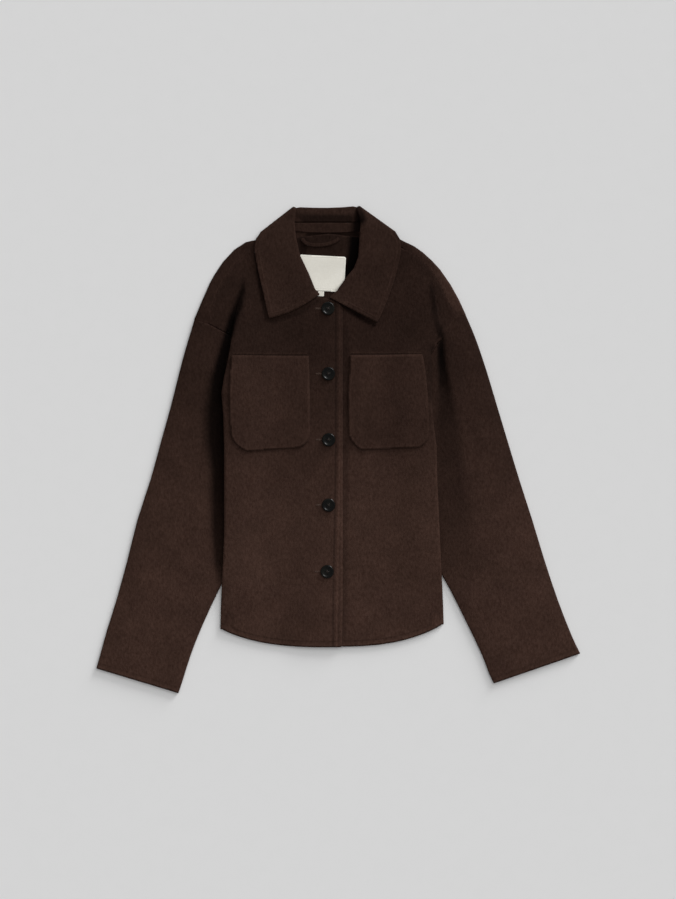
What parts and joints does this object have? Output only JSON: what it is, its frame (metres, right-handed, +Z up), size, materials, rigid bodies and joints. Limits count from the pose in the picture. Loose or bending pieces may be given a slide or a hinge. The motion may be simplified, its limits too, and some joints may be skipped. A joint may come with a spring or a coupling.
{
  "type": "wool overshirt jacket",
  "caption": "Wool overshirt jacket laid flat, with a pointed collar on a stand, long sleeves, patch chest pockets and a buttoned front.",
  "frame": {"origin": "middle of the bounding box in plan, on the surface the garment lies on", "axes": "+X to the wearer's left, +Y from hem to collar, +Z up from the surface, out of the front"},
  "size_m": [0.7266, 0.7318, 0.016],
  "materials": {
    "wool": "matt, softly napped wool",
    "button": "polished, dark and slightly marbled",
    "label": "woven satin, left blank",
    "tab": "woven satin, left blank"
  },
  "bodies": {
    "root": {"back": "wool", "front_right": "wool", "front_left": "wool", "sleeve_right": "wool", "sleeve_left": "wool", "collar_stand": "wool", "collar_fall": "wool", "pocket_right": "wool", "pocket_left": "wool", "button_1": "button", "button_2": "button", "button_3": "button", "button_4": "button", "button_5": "button", "hanger_loop": "wool", "neck_label": "label", "size_tab": "tab"}
  },
  "joints": []
}
